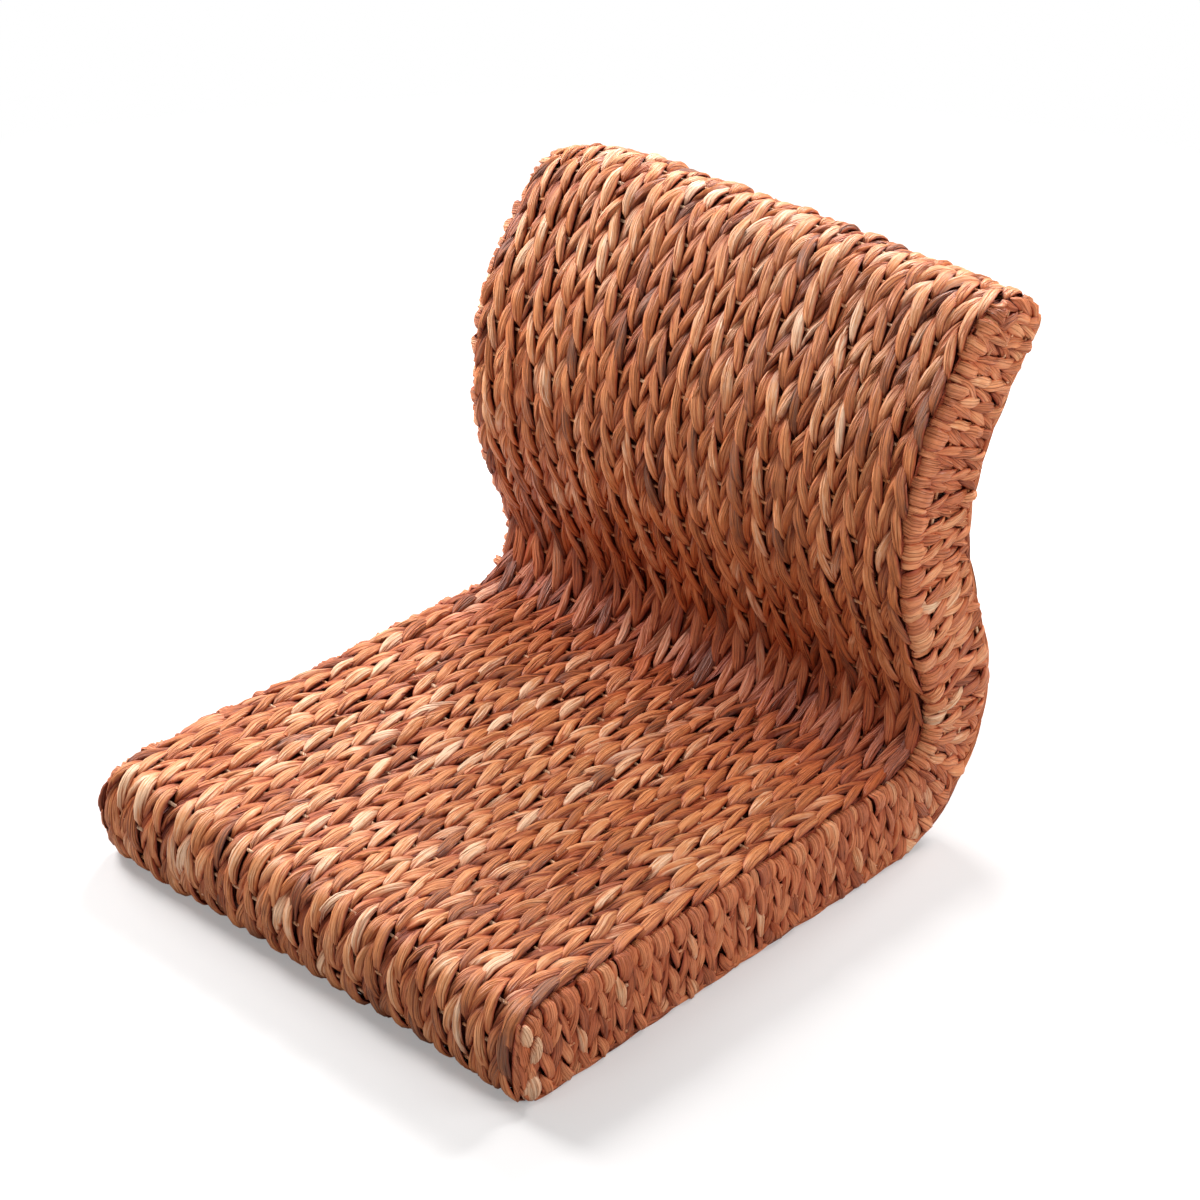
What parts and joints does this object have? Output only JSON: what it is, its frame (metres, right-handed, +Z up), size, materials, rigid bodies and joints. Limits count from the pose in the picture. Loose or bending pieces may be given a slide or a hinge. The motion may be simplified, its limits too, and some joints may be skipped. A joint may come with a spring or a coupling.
{
  "type": "legless woven floor chair",
  "caption": "Low legless floor chair: one bent rod frame covered all round in twined leaf strands, with a flat seat and an S-curved back.",
  "frame": {"origin": "middle of the object's box at floor level, under the middle of the seat", "axes": "+Z up, +Y from the seat's front edge to the back, +X to the right seen from the front, so the sitter looks towards -Y"},
  "size_m": [0.42, 0.5114, 0.4171],
  "materials": {
    "woven_leaf": "satin",
    "side_leaf": "satin",
    "tail_leaf": "satin",
    "leaf_cord": "matte",
    "frame_steel": "satin"
  },
  "bodies": {
    "root": {"weft_plait_1": "woven_leaf", "weft_plait_2": "woven_leaf", "weft_plait_3": "woven_leaf", "weft_plait_4": "woven_leaf", "weft_plait_5": "woven_leaf", "weft_plait_6": "woven_leaf", "weft_plait_7": "woven_leaf", "weft_plait_8": "woven_leaf", "weft_plait_9": "woven_leaf", "weft_plait_10": "woven_leaf", "weft_plait_11": "woven_leaf", "weft_plait_12": "woven_leaf", "weft_plait_13": "woven_leaf", "weft_plait_14": "woven_leaf", "weft_plait_15": "woven_leaf", "weft_plait_16": "woven_leaf", "weft_plait_17": "woven_leaf", "weft_plait_18": "woven_leaf", "weft_plait_19": "woven_leaf", "weft_edge_row_left": "woven_leaf", "weft_edge_row_right": "woven_leaf", "side_sheet_left": "side_leaf", "side_sheet_right": "side_leaf", "side_rows_left": "side_leaf", "side_rows_right": "side_leaf", "corner_tails": "tail_leaf", "underside_cords": "leaf_cord", "rear_cords": "leaf_cord", "back_cords": "leaf_cord", "seat_cords": "leaf_cord", "side_cords_left": "leaf_cord", "side_cords_right": "leaf_cord", "side_loop_left": "frame_steel", "side_loop_right": "frame_steel", "side_struts_left": "frame_steel", "side_struts_right": "frame_steel", "bar_front_upper": "frame_steel", "bar_front_lower": "frame_steel", "bar_thigh": "frame_steel", "bar_seat": "frame_steel", "bar_under": "frame_steel", "bar_crease": "frame_steel", "bar_heel": "frame_steel", "bar_tail": "frame_steel", "bar_waist": "frame_steel", "bar_lumbar": "frame_steel", "bar_rear": "frame_steel", "bar_top_front": "frame_steel", "bar_top_rear": "frame_steel"}
  },
  "joints": []
}
